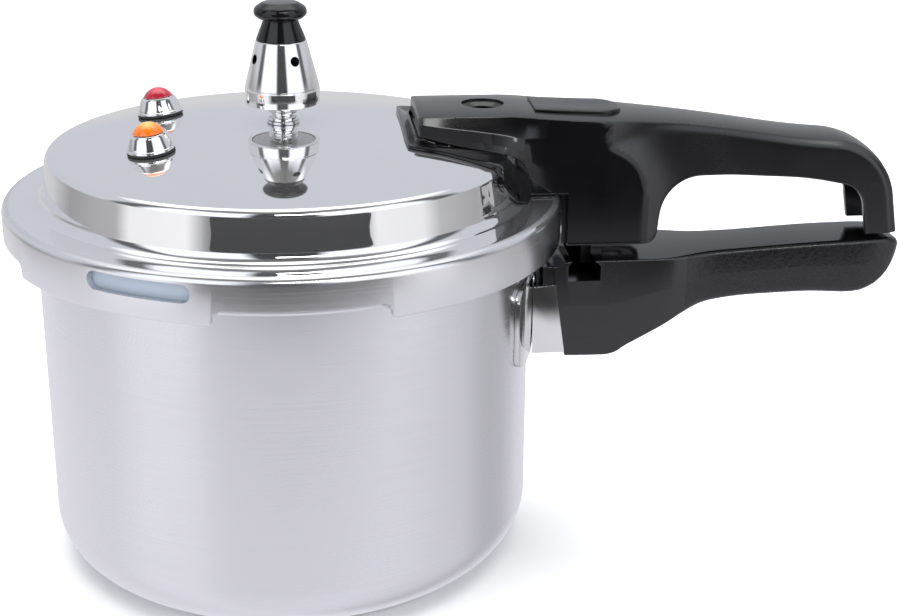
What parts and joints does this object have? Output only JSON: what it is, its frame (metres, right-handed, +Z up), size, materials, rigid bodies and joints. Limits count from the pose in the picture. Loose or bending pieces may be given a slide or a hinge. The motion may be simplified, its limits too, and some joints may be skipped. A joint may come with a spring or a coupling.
{
  "type": "stovetop pressure cooker",
  "caption": "Aluminium pressure cooker with a domed bayonet lid, chrome vent weight, coloured safety valves and paired black handles.",
  "frame": {"origin": "centre of the pot's base, on the surface it stands on", "axes": "+Z up along the pot's axis, +X from the pot's axis towards both handles"},
  "size_m": [0.3443, 0.2084, 0.2114],
  "materials": {
    "pot_aluminium": "satin, fine brushing round the wall",
    "lid_aluminium": "polished dome, brushed skirt",
    "bracket_steel": "brushed",
    "rivet_aluminium": "satin",
    "guard_chrome": "polished",
    "handle_black": "gloss phenolic moulding",
    "slider_satin": "satin",
    "screw_steel": "zinc plated",
    "gasket_silicone": "smooth",
    "seal_rubber": "smooth",
    "vent_steel": "turned",
    "insert_brass": "turned",
    "weight_chrome": "polished",
    "knob_black": "gloss",
    "red_cap": "translucent gloss",
    "orange_cap": "translucent gloss",
    "float_silicone": "smooth",
    "float_red": "satin",
    "spring_steel": "drawn wire"
  },
  "bodies": {
    "pot": {"pot_body": "pot_aluminium", "pot_bracket": "bracket_steel", "pot_rivets": "rivet_aluminium", "flame_guard": "guard_chrome", "pot_handle": "handle_black", "pot_handle_screws": "screw_steel"},
    "lid": {"lid_shell": "lid_aluminium", "lid_gasket": "gasket_silicone", "vent_pipe": "vent_steel", "vent_seal": "vent_steel", "vent_nut": "screw_steel", "vent_filter": "vent_steel", "red_valve_housing": "weight_chrome", "red_valve_seal": "seal_rubber", "red_valve_nut": "screw_steel", "red_valve_spring": "spring_steel", "orange_valve_housing": "weight_chrome", "orange_valve_seal": "seal_rubber", "orange_valve_nut": "screw_steel", "orange_valve_spring": "spring_steel", "float_bush": "vent_steel", "float_nut": "screw_steel", "handle_cover": "handle_black", "handle_saddle": "handle_black", "lid_bracket": "bracket_steel", "bracket_rivets": "rivet_aluminium", "lid_screws": "screw_steel", "cover_inserts": "insert_brass", "cover_screws": "screw_steel", "lock_spring": "spring_steel"},
    "weight_insert": {"weight_core": "insert_brass"},
    "weight": {"weight_shell": "weight_chrome", "weight_knob": "knob_black"},
    "red_valve": {"red_valve_cap": "red_cap", "red_valve_clip": "spring_steel"},
    "orange_valve": {"orange_valve_cap": "orange_cap", "orange_valve_clip": "spring_steel"},
    "float": {"float_pin": "float_red", "float_seal": "float_silicone"},
    "lock": {"lock_slider": "slider_satin", "lock_rod": "vent_steel"}
  },
  "joints": [
    {"name": "lid_turn", "type": "hinge", "parent": "pot", "child": "lid", "pos_m": [0, 0, 0.135], "axis": [0, 0, 1], "range_deg": [-36, 0]},
    {"name": "weight_lift", "type": "slide", "parent": "lid", "child": "weight_insert", "axis": [0, 0, 1], "range_m": [0, 0.03]},
    {"name": "weight_spin", "type": "hinge", "parent": "weight_insert", "child": "weight", "pos_m": [0, 0, 0.18], "axis": [0, 0, 1], "continuous": true},
    {"name": "red_valve_lift", "type": "slide", "parent": "lid", "child": "red_valve", "axis": [-0.0992, 0.0573, 0.9934], "range_m": [0, 0.003], "stiffness_N_per_m": 600, "springref_m": -0.002, "deforming": ["red_valve_spring"]},
    {"name": "orange_valve_lift", "type": "slide", "parent": "lid", "child": "orange_valve", "axis": [-0.0992, -0.0573, 0.9934], "range_m": [0, 0.003], "stiffness_N_per_m": 600, "springref_m": -0.002, "deforming": ["orange_valve_spring"]},
    {"name": "float_rise", "type": "slide", "parent": "lid", "child": "float", "axis": [0.1558, 0, 0.9878], "range_m": [0, 0.0045]},
    {"name": "lock_slide", "type": "slide", "parent": "lid", "child": "lock", "axis": [-0.9966, 0, 0.0819], "range_m": [0, 0.007], "stiffness_N_per_m": 300, "springref_m": -0.005, "deforming": ["lock_spring"]}
  ]
}
